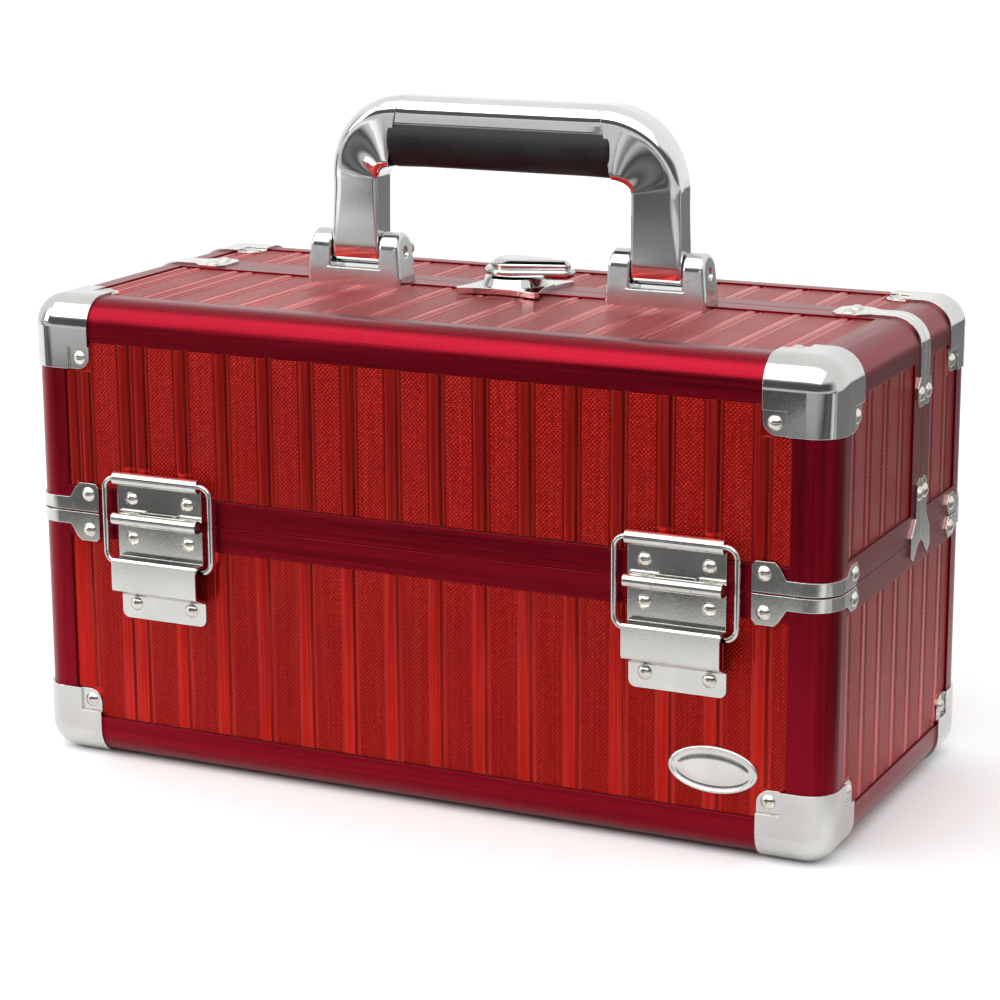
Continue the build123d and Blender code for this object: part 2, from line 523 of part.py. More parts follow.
# the top bar is thinner where the grip wraps it from below
arch = arch - box(-GRIP_HALF, GRIP_HALF, -30, HANDLE_Y + 30, HANDLE_TOP - 26, HANDLE_TOP - 15)
arch = arch + (cyl((-GRIP_HALF, HANDLE_Y, HANDLE_TOP - 16), (GRIP_HALF, HANDLE_Y, HANDLE_TOP - 16), 6.0))
put("handle_arch", "handle", arch)
grip = cyl((-GRIP_HALF, HANDLE_Y, HANDLE_TOP - 19.0), (GRIP_HALF, HANDLE_Y, HANDLE_TOP - 19.0), 12.5)
grip = grip - box(-GRIP_HALF - 1, GRIP_HALF + 1, -40, 40, HANDLE_TOP - 10.0, HANDLE_TOP + 5)
grip = grip - arch
put("handle_grip", "handle", group([max(grip.solids(), key=lambda s: s.volume)]))


# ------------------------------------------------------------------ turn latch
def concave_plate(cy, half, z0, z1):
    """Square plate with pointed corners and hollow sides."""
    pts = []
    bow = 4.5
    for i in range(4):
        a0 = math.radians(45 + 90 * i)
        a1 = math.radians(45 + 90 * (i + 1))
        p = Vector(half * math.sqrt(2) * math.cos(a0), half * math.sqrt(2) * math.sin(a0))
        q = Vector(half * math.sqrt(2) * math.cos(a1), half * math.sqrt(2) * math.sin(a1))
        m = (p + q) * 0.5
        m = m * ((m.length - bow) / m.length)
        pts.append(ThreePointArc((p.X, p.Y), (m.X, m.Y), (q.X, q.Y)))
    f = make_face([e for a in pts for e in a.edges()])
    blunt = extrude(Pos(0, cy, z0) * Rot(0, 0, 45) * Rectangle(2 * (half * math.sqrt(2) - 2.6), 2 * (half * math.sqrt(2) - 2.6)), amount=z1 - z0)
    return extrude(Pos(0, cy, z0) * f, amount=z1 - z0) & blunt


plate = concave_plate(LATCH_Y, LATCH_HALF, Z1, Z1 + 2.5)
front_part = plate & box(-60, 60, -60, SPLIT_Y - SEAM_GAP, Z1 - 1, Z1 + 5)
front_part = front_part + box(-12, 12, LATCH_Y - 14, SPLIT_Y - SEAM_GAP - RAIL_W, TOPF, Z1)
rear_part = plate & box(-60, 60, SPLIT_Y + SEAM_GAP, 60, Z1 - 1, Z1 + 1.8)
bore = cyl((0, LATCH_Y, 190), (0, LATCH_Y, 230), LATCH_SHAFT_R + 0.08)
put("latch_plate", "front_lid", front_part - bore)
put("latch_keeper_plate", "rear_lid", rear_part)

dish = extrude(Pos(0, LATCH_Y, Z1 + 2.5) * Circle(14.5), amount=3.4, taper=24)
# relieved behind so that the rear lid swings clear under it
relief = prism([(SPLIT_Y - 0.3, Z1 + 2.4), (60, Z1 + 2.4 + 0.85 * (60 - SPLIT_Y + 0.3)), (60, Z1 - 3), (SPLIT_Y - 0.3, Z1 - 3)],
               Plane(origin=(-40, 0, 0), x_dir=(0, 1, 0), z_dir=(1, 0, 0)), 80)
dish = dish - relief
put("latch_dish", "front_lid", dish - bore)

KZ = Z1 + 6.0
hub = extrude(Pos(0, LATCH_Y, KZ) * Circle(9.8), amount=3.0)
wing = extrude(Pos(0, LATCH_Y, KZ + 2.5) * make_face(
    [e for e in (Polyline((-12, 8.5), (-17.5, 4.0), (-17.5, -4.0), (-12, -8.5), (4, -8.5), (27, -4.2), (27, 4.2), (4, 8.5), close=True)).edges()]),
    amount=5.5)
wing = fillet(wing.edges().filter_by(Axis.Z), 1.6)
wing = fillet(wing.faces().sort_by(Axis.Z)[-1].edges(), 1.0)
knob = hub + wing
knob = knob - cyl((0, LATCH_Y, KZ + 2), (0, LATCH_Y, KZ + 20), 3.3)
put("latch_knob", "latch", knob)
shaft = cyl((0, LATCH_Y, Z1 - 9.5), (0, LATCH_Y, KZ), LATCH_SHAFT_R)
cam = box(-5, 16, LATCH_Y - 5, LATCH_Y + 5, Z1 - 9.5, Z1 - 7.5) - cyl((0, LATCH_Y, 150), (0, LATCH_Y, 230), LATCH_SHAFT_R)
cam = fillet(cam.edges().filter_by(Axis.Z).filter_by(lambda e: e.geom_type == GeomType.LINE), 2.0)
put("latch_shaft_cam", "latch", shaft + cam)
core = cyl((0, LATCH_Y, KZ + 2), (0, LATCH_Y, KZ + 7.6), 3.3 - PIN_CLEAR)
core = core - box(-2.2, 2.2, LATCH_Y - 0.45, LATCH_Y + 0.45, KZ + 4.5, KZ + 9)
put("latch_key_core", "key_core", core)

hole = cyl((0, LATCH_Y, Z1 - 8.0), (0, LATCH_Y, Z1 + 1), LATCH_SHAFT_R + 0.08)
for n in ("front_lid_top_panel", "front_lid_rim_rails", "front_lid_lining"):
    NODES[n] = NODES[n] - hole

# ----------------------------------------------------------------------- badge
BX, BZ = 135.4, 36.2
plb = Plane(origin=(BX, -OY + IN1, BZ), x_dir=(1, 0, 0), z_dir=(0, -1, 0))
rim = extrude(plb * Ellipse(19.2, 9.9), amount=1.6) - extrude(plb * Ellipse(17.6, 8.3), amount=2)
put("badge", "base", group([rim, extrude(plb * Ellipse(17.6, 8.3), amount=1.0)]))


# ------------------------------------------------------------- trays and arms
def tray(body_y0, body_y1, z0, z1, dividers):
    t = box(-TRAY_END, TRAY_END, body_y0, body_y1, z0, z1)
    t = t - box(-TRAY_END + TRAY_T, TRAY_END - TRAY_T, body_y0 + TRAY_T, body_y1 - TRAY_T, z0 + TRAY_T, z1 + 5)
    for x in dividers:
        t = t + box(x - 0.6, x + 0.6, body_y0 + TRAY_T, body_y1 - TRAY_T, z0 + TRAY_T, z1 - 3)
    return t


def xcyl(y, z, r, xa, xb):
    return [cyl((s * xa, y, z), (s * xb, y, z), r) for s in (-1, 1)]


def arm(y0, z0, y1, z1, holes, s):
    """Flat strip with round ends from one pivot to another."""
    r = ARM_W / 2
    a = cyl((s * ARM_X, y0, z0), (s * (ARM_X + ARM_T), y0, z0), r)
    b = cyl((s * ARM_X, y1, z1), (s * (ARM_X + ARM_T), y1, z1), r)
    d = Vector(0, y1 - y0, z1 - z0)
    L = d.length
    ang = math.degrees(math.atan2(z1 - z0, y1 - y0))
    mid = Pos(s * (ARM_X + ARM_T / 2), (y0 + y1) / 2, (z0 + z1) / 2) * Rot(ang, 0, 0) * Box(ARM_T, L, ARM_W)
    out = a + b + mid
    for y, z, rr_ in holes:
        out = out - cyl((s * (ARM_X - 1), y, z), (s * (ARM_X + ARM_T + 1), y, z), rr_)
    return out


HC = TPIN_R + TPIN_CLEAR
fy, zc = -AX_Y, SEAM_Z
ry = AX_Y
L = LINK_F
# front pivots, world
B = (fy + 52.0, zc + PIVOT_DZ)
C = (fy + 18.0, zc + PIVOT_DZ)
B1, B2 = (B[0] + L / 2, B[1] + L / 2), (B[0] + L, B[1] + L)
C1 = (C[0] + L / 2, C[1] + L / 2)
A = (fy + L, zc + L)
# rear pivots, world
RB = (ry - 22.0, zc + PIVOT_DZ)
RB1 = (RB[0] - LINK_R, RB[1] + LINK_R)
RA = (ry - LINK_R, zc + LINK_R)

up = tray(fy + 24, fy + 108, zc + 43, zc + 70, (-83, 0, 83))
for p in (A, B2):
    for c_ in xcyl(p[0], p[1], HC, TRAY_END - 3, TRAY_END + 1):
        up = up - c_
put("front_upper_tray", "front_upper_tray", up)
lo = tray(fy + 24, fy + 108, zc + 14, zc + 41, (-55, 55))
for p in (B1, C1):
    for c_ in xcyl(p[0], p[1], HC, TRAY_END - 3, TRAY_END + 1):
        lo = lo - c_
put("front_lower_tray", "front_lower_tray", lo)
rt = tray(ry - 60, ry - 21, zc + 16, zc + 46, ())
for p in (RA, RB1):
    for c_ in xcyl(p[0], p[1], HC, TRAY_END - 3, TRAY_END + 1):
        rt = rt - c_
put("rear_tray", "rear_tray", rt)

put("front_long_arms", "front_long_arms", group(
    arm(B[0], B[1], B2[0], B2[1], [(B[0], B[1], HC), (B1[0], B1[1], TPIN_R), (B2[0], B2[1], TPIN_R)], s) for s in (-1, 1)))
put("front_short_arms", "front_short_arms", group(
    arm(C[0], C[1], C1[0], C1[1], [(C[0], C[1], HC), (C1[0], C1[1], TPIN_R)], s) for s in (-1, 1)))
put("rear_arms", "rear_arms", group(
    arm(RB[0], RB[1], RB1[0], RB1[1], [(RB[0], RB[1], HC), (RB1[0], RB1[1], TPIN_R)], s) for s in (-1, 1)))

X_HEAD = TRAY_END - TRAY_T


def arm_pins(points):
    """Pins riveted in the arms, with their heads inside the tray ends."""
    out = []
    for p in points:
        for s in (-1, 1):
            pin = cyl((s * X_HEAD, p[0], p[1]), (s * (ARM_X + ARM_T), p[0], p[1]), TPIN_R)
            head = cyl((s * (X_HEAD - 1.1), p[0], p[1]), (s * (X_HEAD - 0.1), p[0], p[1]), 3.6)
            neck = cyl((s * (X_HEAD - 0.1), p[0], p[1]), (s * X_HEAD, p[0], p[1]), TPIN_R)
            wash = cyl((s * (TRAY_END + 0.2), p[0], p[1]), (s * ARM_X, p[0], p[1]), 3.2)
            out.append(pin + head + neck + wash)
    return group(out)


# each set of arms shares its node with the pins riveted in it
for n_, pts_ in (("front_long_arms", [B1, B2]), ("front_short_arms", [C1]), ("rear_arms", [RB1])):
    NODES[n_] = group([NODES[n_], arm_pins(pts_)])


def base_studs(points):
    """Shouldered studs on the base rim that the arms turn on."""
    out = []
    for p in points:
        for s in (-1, 1):
            st = cyl((s * (OX - IN3), p[0], p[1]), (s * (ARM_X - 1.3), p[0], p[1]), TPIN_R)
            st = st + cyl((s * (ARM_X - 1.3), p[0], p[1]), (s * (ARM_X - 0.2), p[0], p[1]), 3.6)
            st = st + cyl((s * (ARM_X + ARM_T + 0.2), p[0], p[1]), (s * (OX - IN3), p[0], p[1]), 3.2)
            out.append(st)
    return group(out)


put("tray_arm_studs", "base", base_studs([B, C, RB]))


def lid_studs(p):
    """Studs on the lid ends that draw the tray along."""
    out = []
    for s in (-1, 1):
        st = cyl((s * (OX - IN2), p[0], p[1]), (s * (X_HEAD - 1.1), p[0], p[1]), TPIN_R)
        st = st + cyl((s * (X_HEAD - 1.1), p[0], p[1]), (s * (X_HEAD - 0.1), p[0], p[1]), 3.6)
        st = st + cyl((s * (OX - IN2 - 1.5), p[0], p[1]), (s * (OX - IN2), p[0], p[1]), 6.5)
        st = st + cyl((s * (TRAY_END + 0.2), p[0], p[1]), (s * (OX - IN2), p[0], p[1]), 3.2)
        out.append(st)
    return group(out)


put("front_lid_tray_studs", "front_lid", lid_studs(A))
put("rear_lid_tray_studs", "rear_lid", lid_studs(RA))

# --------------------------------------------------------------------- rivets
for body, items in RIVETS.items():
    heads = [rivet(p, n) for p, n in items]
    for name in [n for n in NODES if BODY[n] == body]:
        part = NODES[name]
        bb = part.bounding_box()
        hit = []
        for p, n in items:
            sh = shank(p, n)
            sb = sh.bounding_box()
            if (sb.min.X < bb.max.X and sb.max.X > bb.min.X and sb.min.Y < bb.max.Y
                    and sb.max.Y > bb.min.Y and sb.min.Z < bb.max.Z and sb.max.Z > bb.min.Z):
                hit.append(sh)
        if hit:
            solids = []
            for so in part.solids():
                b2 = so.bounding_box()
                mine = [h for h in hit if (h.bounding_box().min.X < b2.max.X and h.bounding_box().max.X > b2.min.X
                                           and h.bounding_box().min.Y < b2.max.Y and h.bounding_box().max.Y > b2.min.Y
                                           and h.bounding_box().min.Z < b2.max.Z and h.bounding_box().max.Z > b2.min.Z)]
                if mine:
                    so = so.cut(*[s for h in mine for s in h.solids()])
                solids += list(so.solids()) if hasattr(so, "solids") else [so]
            NODES[name] = Compound(children=solids) if len(solids) > 1 else solids[0]
    put(f"{body}_rivets", body, group(heads))

for name, shape in NODES.items():
    export_step(shape, f"parts/{name}.step")
print(len(NODES), "nodes")
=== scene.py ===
import bpy, bmesh, math, os
from mathutils import Vector, Matrix


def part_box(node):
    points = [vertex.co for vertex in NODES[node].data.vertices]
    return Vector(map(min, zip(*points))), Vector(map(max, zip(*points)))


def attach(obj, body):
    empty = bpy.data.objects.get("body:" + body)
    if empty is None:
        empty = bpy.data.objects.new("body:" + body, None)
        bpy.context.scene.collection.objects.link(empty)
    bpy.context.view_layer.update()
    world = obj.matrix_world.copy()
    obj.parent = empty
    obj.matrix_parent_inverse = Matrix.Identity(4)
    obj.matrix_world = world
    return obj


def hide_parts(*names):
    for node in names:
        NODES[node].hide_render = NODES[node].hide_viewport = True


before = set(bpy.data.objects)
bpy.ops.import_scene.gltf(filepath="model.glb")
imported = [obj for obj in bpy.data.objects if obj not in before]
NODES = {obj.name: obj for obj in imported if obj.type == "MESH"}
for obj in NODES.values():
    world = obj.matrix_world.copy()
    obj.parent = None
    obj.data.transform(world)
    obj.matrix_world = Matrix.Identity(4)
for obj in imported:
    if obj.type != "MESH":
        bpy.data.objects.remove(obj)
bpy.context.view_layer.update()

# ---------------------------------------------------------------- camera
az, el, roll = math.radians(25.63), math.radians(13.89), math.radians(-0.257)
fwd = Vector((-math.sin(az) * math.cos(el), math.cos(az) * math.cos(el), -math.sin(el)))
right = fwd.cross(Vector((0, 0, 1))).normalized()
up = right.cross(fwd)
r_ = right * math.cos(roll) + up * math.sin(roll)
u_ = up * math.cos(roll) - right * math.sin(roll)
cam_data = bpy.data.cameras.new("camera")
cam_data.lens, cam_data.sensor_width = 104.2, 36.0
cam_data.clip_start, cam_data.clip_end = 0.02, 80
cam = bpy.data.objects.new("camera", cam_data)
bpy.context.collection.objects.link(cam)
m = Matrix((r_, u_, -fwd)).transposed().to_4x4()
m.translation = Vector((0.5335, -1.1119, 0.4187))
cam.matrix_world = m
bpy.context.scene.camera = cam
bpy.context.scene.view_settings.view_transform = "Standard"
bpy.context.scene.view_settings.look = "None"


# ---------------------------------------------------------------- node helpers
class Mat:
    """A small wrapper that keeps material graphs readable."""

    def __init__(self, name):
        self.mat = bpy.data.materials.new(name)
        self.mat.use_nodes = True
        self.nt = self.mat.node_tree
        self.nt.nodes.clear()
        self.out = self.nt.nodes.new("ShaderNodeOutputMaterial")
        self.bsdf = self.nt.nodes.new("ShaderNodeBsdfPrincipled")
        self.nt.links.new(self.bsdf.outputs[0], self.out.inputs[0])
        self.co = self.nt.nodes.new("ShaderNodeTexCoord").outputs["Object"]
        s = self.nt.nodes.new("ShaderNodeSeparateXYZ")
        self.nt.links.new(self.co, s.inputs[0])
        self.x, self.y, self.z = s.outputs

    def node(self, kind, ins=None, **props):
        n = self.nt.nodes.new(kind)
        for k, v in props.items():
            setattr(n, k, v)
        for k, v in (ins or {}).items():
            if isinstance(v, bpy.types.NodeSocket):
                self.nt.links.new(v, n.inputs[k])
            else:
                n.inputs[k].default_value = v
        return n

    def m(self, op, a, b=None, c=None, clamp=False):
        n = self.nt.nodes.new("ShaderNodeMath")
        n.operation, n.use_clamp = op, clamp
        for i, v in enumerate((a, b, c)):
            if v is None:
                continue
            if isinstance(v, bpy.types.NodeSocket):
                self.nt.links.new(v, n.inputs[i])
            else:
                n.inputs[i].default_value = v
        return n.outputs[0]

    def noise(self, scale, detail=3.0, rough=0.5, stretch=None, vec=None):
        v = vec or self.co
        if stretch:
            v = self.node("ShaderNodeVectorMath", {0: v, 1: stretch}, operation="MULTIPLY").outputs[0]
        return self.node("ShaderNodeTexNoise", {"Vector": v, "Scale": scale, "Detail": detail, "Roughness": rough}).outputs["Fac"]

    def ramp(self, fac, stops):
        n = self.nt.nodes.new("ShaderNodeValToRGB")
        self.nt.links.new(fac, n.inputs[0])
        e = n.color_ramp.elements
        while len(e) < len(stops):
            e.new(0.5)
        for i, (p, c) in enumerate(stops):
            e[i].position = p
            e[i].color = c if len(c) == 4 else (*c, 1)
        return n.outputs[0]

    def rng(self, fac, a, b, c, d):
        return self.node("ShaderNodeMapRange", {"Value": fac, "From Min": a, "From Max": b, "To Min": c, "To Max": d}).outputs[0]

    def mix(self, fac, a, b, blend="MIX"):
        n = self.nt.nodes.new("ShaderNodeMix")
        n.data_type, n.blend_type = "RGBA", blend
        for k, v in ((0, fac), (6, a), (7, b)):
            if isinstance(v, bpy.types.NodeSocket):
                self.nt.links.new(v, n.inputs[k])
            else:
                n.inputs[k].default_value = v if k == 0 else ((*v, 1) if len(v) == 3 else v)
        return n.outputs[2]

    def bevel(self, radius, samples=4):
        return self.node("ShaderNodeBevel", {"Radius": radius}, samples=samples).outputs[0]

    def edge(self, radius):
        """0 on flats, rising to 1 along convex and concave edges."""
        b = self.bevel(radius)
        g = self.nt.nodes.new("ShaderNodeNewGeometry").outputs["Normal"]
        d = self.node("ShaderNodeVectorMath", {0: b, 1: g}, operation="DOT_PRODUCT").outputs["Value"]
        return self.rng(d, 0.995, 0.80, 0.0, 1.0)

    def bump(self, height, dist, strength=1.0, normal=None):
        ins = {"Height": height, "Distance": dist, "Strength": strength}
        if normal is not None:
            ins["Normal"] = normal
        return self.node("ShaderNodeBump", ins).outputs[0]

    def set(self, **kw):
        names = {"color": "Base Color", "rough": "Roughness", "metal": "Metallic", "normal": "Normal",
                 "coat": "Coat Weight", "coat_rough": "Coat Roughness", "spec": "Specular IOR Level",
                 "sheen": "Sheen Weight", "sheen_rough": "Sheen Roughness", "sheen_tint": "Sheen Tint",
                 "tint": "Specular Tint", "aniso": "Anisotropic"}
        for k, v in kw.items():
            s = self.bsdf.inputs[names[k]]
            if isinstance(v, bpy.types.NodeSocket):
                self.nt.links.new(v, s)
            else:
                s.default_value = (*v, 1) if isinstance(v, tuple) and len(v) == 3 else v
        return self.mat


def metal(name, color, dark, rough, spread, bump_scale=900, bump=0.00001, bevel=0.0004, brush=None, edge_highlight_col=None, edge_highlight_amt=0.5, patch=45):
    a = Mat(name)
    big = a.noise(patch, 3)
    fine = a.noise(bump_scale, 3, stretch=brush)
    scr = a.noise(260, 2, stretch=(1, 0.04, 1))
    col = a.mix(a.rng(big, 0.38, 0.68, 0, 1), dark, color)
    e = a.edge(bevel * 1.6)
    # painted highlight: along bevelled edges the colour is lightened towards the edge colour
    if edge_highlight_col:
        col = a.mix(a.m("MULTIPLY", e, edge_highlight_amt), col, edge_highlight_col)
    ro = a.m("ADD", a.rng(big, 0.3, 0.7, rough - spread, rough + spread), a.rng(fine, 0.35, 0.7, -0.08 * rough, 0.18 * rough))
    ro = a.m("ADD", ro, a.rng(scr, 0.62, 0.70, 0.0, 0.25 * rough), clamp=True)
    nrm = a.bump(fine, bump, 1.0, a.bevel(bevel))
    return a.set(color=col, rough=ro, metal=1.0, normal=nrm)


def anodised(name, base, dark, bright):
    """Crimson anodised aluminium: satin, with fine drawing lines along each profile, and a painted highlight that
    lightens its edges.
    """
    a = Mat(name)
    ax = a.m("ABSOLUTE", a.x)
    end = a.m("GREATER_THAN", ax, 0.1665)
    ay = a.m("ABSOLUTE", a.y)
    post = a.m("MULTIPLY", end, a.m("GREATER_THAN", ay, 0.0695))
    seam = a.m("MULTIPLY", a.m("MULTIPLY", a.m("GREATER_THAN", a.z, 0.1235), a.m("LESS_THAN", a.z, 0.2035)),
               a.m("MULTIPLY", a.m("GREATER_THAN", a.y, 0.009), a.m("LESS_THAN", a.y, 0.034)))
    post = a.m("MAXIMUM", post, a.m("MULTIPLY", seam, end))
    def lines(sc, det):
        gx = a.noise(sc, det, stretch=(0.012, 1, 1))
        gy = a.noise(sc, det, stretch=(1, 0.012, 1))
        gz = a.noise(sc, det, stretch=(1, 1, 0.012))
        f = a.node("ShaderNodeMix", {0: end, 2: gx, 3: gy}).outputs[0]
        return a.node("ShaderNodeMix", {0: post, 2: f, 3: gz}).outputs[0]
    fine, wide = lines(2600, 2), lines(420, 2)
    patch = a.noise(18, 2)
    col = a.mix(a.rng(wide, 0.34, 0.66, 0, 1), dark, base)
    col = a.mix(a.rng(fine, 0.5, 0.72, 0, 0.2), col, bright)
    col = a.mix(a.rng(patch, 0.3, 0.7, 0, 0.18), col, dark)
    e = a.edge(0.0006)
    # painted highlight: the edges are lightened towards the bright colour
    col = a.mix(a.m("MULTIPLY", e, 0.35), col, bright)
    ro = a.m("ADD", a.rng(wide, 0.3, 0.7, 0.27, 0.36), a.rng(fine, 0.3, 0.7, -0.03, 0.05), clamp=True)
    h = a.m("ADD", a.m("MULTIPLY", fine, 0.35), wide)
    nrm = a.bump(h, 0.00003, 1.0, a.bevel(0.0004))
    return a.set(color=col, rough=ro, metal=0.98, normal=nrm, coat=0.04, coat_rough=0.3)


def panel_mat(name, hatch, run="z", groove=False):
    """Red embossed sheet: smooth ribs, or bands pressed with small staggered diamonds. Its colour carries painted shade
    and highlight: darker diamond hollows with lighter tops, lightened sheet edges, and a darker groove version for the
    low strips.
    """
    a = Mat(name)
    patch = a.noise(22, 3)
    streak = a.noise(900, 2, stretch=(1, 1, 0.02) if run == "z" else (1, 0.02, 1))
    base, deep, light = (0.44, 0.012, 0.009), (0.16, 0.003, 0.002), (0.68, 0.085, 0.06)
    # painted shade: the groove version takes a much darker base colour, standing in for shade in the low strips between
    # the ribs
    if groove:
        base = (0.17, 0.004, 0.003)
    col = a.mix(a.rng(patch, 0.3, 0.7, 0, 0.35), base, deep)
    col = a.mix(a.rng(streak, 0.45, 0.75, 0, 0.22), col, light)
    e = a.edge(0.0005)
    nrm = a.bevel(0.00025)
    ro = a.rng(patch, 0.3, 0.7, 0.25, 0.33)
    if hatch:
        g = a.nt.nodes.new("ShaderNodeTexCoord").outputs["Normal"]
        s = a.node("ShaderNodeSeparateXYZ", {0: g}).outputs
        side = a.m("GREATER_THAN", a.m("ABSOLUTE", s[0]), 0.7)
        topf = a.m("GREATER_THAN", a.m("ABSOLUTE", s[2]), 0.7)
        u = a.node("ShaderNodeMix", {0: side, 2: a.x, 3: a.y}).outputs[0]
        v = a.node("ShaderNodeMix", {0: topf, 2: a.z, 3: a.y}).outputs[0]
        P = 0.0019
        p = a.m("DIVIDE", a.m("ADD", u, v), P)
        q = a.m("DIVIDE", a.m("SUBTRACT", u, v), P)
        tp = a.m("ABSOLUTE", a.m("SINE", a.m("MULTIPLY", p, math.pi)))
        tq = a.m("ABSOLUTE", a.m("SINE", a.m("MULTIPLY", q, math.pi)))
        cell = a.m("POWER", a.m("MULTIPLY", tp, tq), 1.3)
        wob = a.noise(500, 2)
        cell = a.m("MULTIPLY", cell, a.rng(wob, 0.3, 0.7, 0.75, 1.1))
        # painted shade and highlight: the diamond hollows are darkened and their raised tops lightened
        col = a.mix(a.rng(cell, 0.04, 0.60, 0.0, 1.0), a.mix(0.78, col, deep), a.mix(0.14, col, deep))
        nrm = a.bump(cell, 0.00023, 1.0, nrm)
        ro = a.m("ADD", ro, 0.06)
    else:
        nrm = a.bump(streak, 0.00002, 1.0, nrm)
        # painted highlight: the smooth sheet is lightened along its edges
        col = a.mix(a.m("MULTIPLY", e, 0.3), col, light)
    return a.set(color=col, rough=ro, metal=0.90, normal=nrm, spec=0.3, coat=0.0)


def rough_plastic(name, color, light, rough, scale, dist, coat=0.0, spec=0.5):
    a = Mat(name)
    big, fine = a.noise(60, 3), a.noise(scale, 2)
    v = a.node("ShaderNodeTexVoronoi", {"Vector": a.co, "Scale": scale * 0.6}).outputs["Distance"]
    col = a.mix(a.rng(big, 0.3, 0.7, 0, 0.6), color, light)
    # painted highlight: the colour is lightened along the edges
    e = a.edge(0.0008)
    col = a.mix(a.m("MULTIPLY", e, 0.4), col, light)
    h = a.m("ADD", a.m("MULTIPLY", v, 0.8), fine)
    return a.set(color=col, rough=a.rng(big, 0.3, 0.7, rough - 0.06, rough + 0.06), normal=a.bump(h, dist, 1.0, a.bevel(0.0005)), coat=coat, spec=spec)


def velvet(name, color, light):
    """Short pile lining: woven grid under a soft sheen."""
    a = Mat(name)
    s = 2 * math.pi / 0.0011
    wx = a.m("SINE", a.m("MULTIPLY", a.x, s))
    wy = a.m("SINE", a.m("MULTIPLY", a.y, s))
    wz = a.m("SINE", a.m("MULTIPLY", a.z, s))
    w = a.m("ADD", a.m("MULTIPLY", wx, wy), a.m("MULTIPLY", wz, a.m("ADD", wx, wy)))
    fz = a.noise(2500, 3)
    patch = a.noise(25, 3)
    col = a.mix(a.rng(patch, 0.3, 0.7, 0, 1), color, light)
    col = a.mix(a.rng(w, -1, 1, 0, 0.35), col, light)
    h = a.m("ADD", a.m("MULTIPLY", w, 0.4), fz)
    return a.set(color=col, rough=0.9, normal=a.bump(h, 0.0002), sheen=0.5, sheen_rough=0.45, sheen_tint=(0.5, 0.5, 0.52), spec=0.2)


# The edge colours given to the metals below are painted highlights along their bevelled edges.
MT = {
    "extrusion": anodised("crimson_anodised", (0.225, 0.0036, 0.0135), (0.165, 0.0022, 0.0090), (0.36, 0.012, 0.032)),
    "panel": panel_mat("red_sheet_smooth", False),
    "hatch": panel_mat("red_sheet_diamond", True),
    "groove": panel_mat("red_sheet_groove_painted_shade", False, groove=True),
    "chrome": metal("polished_chrome", (0.59, 0.59, 0.575), (0.53, 0.53, 0.515), 0.07, 0.02, bump=0.000004, edge_highlight_col=(0.85, 0.85, 0.83)),
    "nickel": metal("bright_nickel", (0.64, 0.64, 0.61), (0.55, 0.55, 0.52), 0.11, 0.03, bump=0.000008, edge_highlight_col=(0.88, 0.87, 0.84)),
    "zinc": metal("zinc_plate", (0.62, 0.62, 0.60), (0.48, 0.48, 0.47), 0.26, 0.06, brush=(1, 0.05, 1), edge_highlight_col=(0.8, 0.8, 0.78)),
    "handle": metal("handle_chrome", (0.70, 0.70, 0.69), (0.64, 0.64, 0.63), 0.07, 0.015, bump=0.000002, edge_highlight_amt=0.0, bevel=0.0001, patch=14),
    "cast": metal("cast_alloy", (0.61, 0.62, 0.62), (0.53, 0.54, 0.54), 0.15, 0.04, bump_scale=500, bump=0.000005, bevel=0.0008, edge_highlight_col=(0.86, 0.87, 0.88), edge_highlight_amt=0.8),
    "rivet": metal("rivet_nickel", (0.76, 0.73, 0.66), (0.55, 0.53, 0.48), 0.16, 0.05, patch=300, bump=0.00002, edge_highlight_col=(0.88, 0.86, 0.8)),
    "badge": metal("badge_brushed", (0.70, 0.70, 0.68), (0.58, 0.58, 0.56), 0.16, 0.04, brush=(0.06, 1, 1), edge_highlight_col=(0.9, 0.88, 0.86)),
    "grip": rough_plastic("black_grip", (0.006, 0.006, 0.007), (0.016, 0.016, 0.018), 0.50, 1500, 0.00006, spec=0.22),
    "bumper": rough_plastic("beige_bumper", (0.42, 0.36, 0.24), (0.55, 0.49, 0.36), 0.55, 1400, 0.00006),
    "lining": velvet("black_lining", (0.010, 0.010, 0.011), (0.022, 0.022, 0.024)),
    "tray": rough_plastic("tray_black", (0.012, 0.012, 0.013), (0.03, 0.03, 0.032), 0.42, 1100, 0.00010, coat=0.1),
    "board": rough_plastic("board_core", (0.10, 0.012, 0.010), (0.16, 0.02, 0.016), 0.6, 900, 0.00005),
}


def node_material(name):
    n = name
    if n.endswith("_rivets"):
        return "rivet"
    if "lining" in n:
        return "lining"
    if "extrusions" in n or "rails" in n or "corner_posts" in n:
        return "extrusion"
    if "corner_caps" in n or n in ("handle_arch", "latch_knob", "latch_plate", "latch_dish", "latch_keeper_plate", "badge") or n.startswith("stop_ring"):
        return "chrome"
    if "tray_studs" in n or "arm_studs" in n or "arms" in n:
        return "zinc"
    if "tray" in n:
        return "tray"
    if n.endswith("_panel") or n.endswith("_panels"):
        return "board"
    if n == "handle_brackets":
        return "cast"
    if n == "handle_grip":
        return "grip"
    if n == "handle_bumpers":
        return "bumper"
    return "nickel"


for name, o in NODES.items():
    mat = MT[node_material(name)]
    if o.data.materials:
        for i in range(len(o.data.materials)):
            o.data.materials[i] = mat
    else:
        o.data.materials.append(mat)


